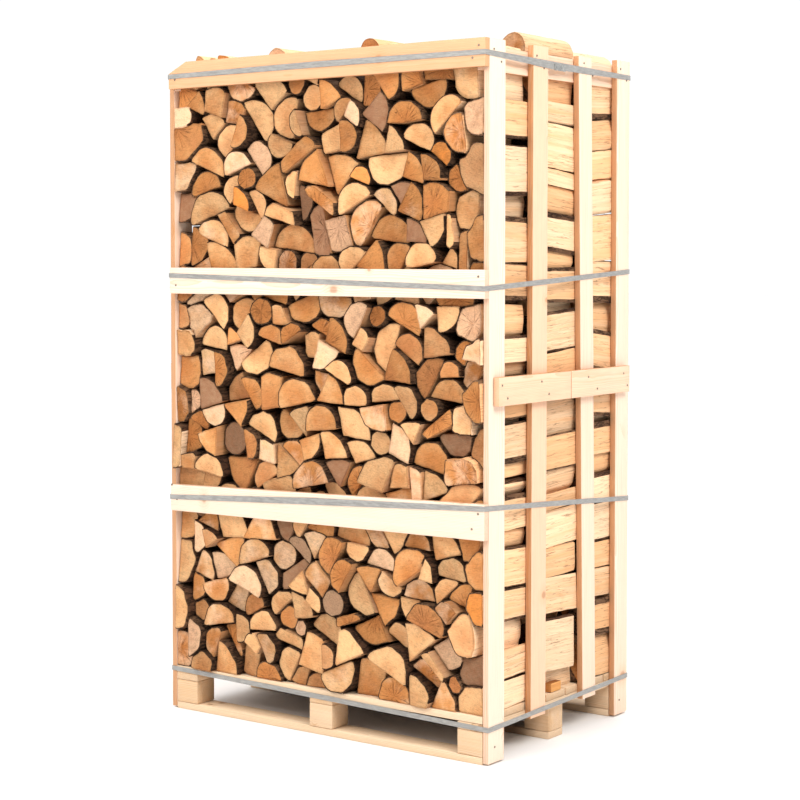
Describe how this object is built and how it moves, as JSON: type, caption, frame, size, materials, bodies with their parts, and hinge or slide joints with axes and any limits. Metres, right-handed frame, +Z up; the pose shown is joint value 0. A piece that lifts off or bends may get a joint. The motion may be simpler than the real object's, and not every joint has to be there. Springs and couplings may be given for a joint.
{
  "type": "pallet crate of split firewood",
  "caption": "Tall slatted softwood crate on a block pallet, filled with rows of short split logs and held by flat straps round it, for storing and moving firewood.",
  "frame": {"origin": "on the ground under the middle of the crate", "axes": "+Z up, +X across the wide face towards the side with the seal on its top strap, +Y through the depth away from the face with the log ends, so the open face looks towards -Y"},
  "size_m": [1.2406, 0.8312, 2.058],
  "materials": {
    "pallet_wood": "rough-sawn pine, matte",
    "crate_slats": "pale sawn spruce, matte",
    "split_wood": "dry split hardwood with sawn ends, matte",
    "bark": "dry bark, rough and matte",
    "offcut_wood": "sawn orange-brown wood, matte",
    "strap": "grey band with a fine embossed texture, satin",
    "seal": "crimped zinc-grey steel",
    "nail": "dull dark steel heads"
  },
  "bodies": {
    "root": {"bottom_board_front": "pallet_wood", "block_front_left": "pallet_wood", "block_front_middle": "pallet_wood", "block_front_right": "pallet_wood", "bottom_board_middle": "pallet_wood", "block_middle_left": "pallet_wood", "block_middle_middle": "pallet_wood", "block_middle_right": "pallet_wood", "bottom_board_rear": "pallet_wood", "block_rear_left": "pallet_wood", "block_rear_middle": "pallet_wood", "block_rear_right": "pallet_wood", "stringer_left": "pallet_wood", "stringer_middle": "pallet_wood", "stringer_right": "pallet_wood", "deck_board_1": "pallet_wood", "deck_board_2": "pallet_wood", "deck_board_3": "pallet_wood", "deck_board_4": "pallet_wood", "deck_board_5": "pallet_wood", "deck_board_6": "pallet_wood", "deck_board_7": "pallet_wood", "post_right_front_corner": "crate_slats", "post_right_front_inner": "crate_slats", "post_right_rear_inner": "crate_slats", "post_right_rear_corner": "crate_slats", "top_rail_right": "crate_slats", "mid_rail_right_front": "crate_slats", "mid_rail_right_rear": "crate_slats", "post_left_front_corner": "crate_slats", "post_left_front_inner": "crate_slats", "post_left_rear_inner": "crate_slats", "post_left_rear_corner": "crate_slats", "top_rail_left": "crate_slats", "mid_rail_left_front": "crate_slats", "mid_rail_left_rear": "crate_slats", "face_board_front_top": "crate_slats", "face_board_front_middle": "crate_slats", "face_board_front_lower": "crate_slats", "face_board_rear_top": "crate_slats", "face_board_rear_middle": "crate_slats", "face_board_rear_lower": "crate_slats", "strap_1": "strap", "strap_seal_1": "seal", "strap_2": "strap", "strap_seal_2": "seal", "strap_3": "strap", "strap_seal_3": "seal", "strap_4": "strap", "strap_seal_4": "seal", "offcut_block": "offcut_wood", "log_row_front": "split_wood", "log_row_middle": "split_wood", "log_row_rear": "split_wood"}
  },
  "joints": []
}
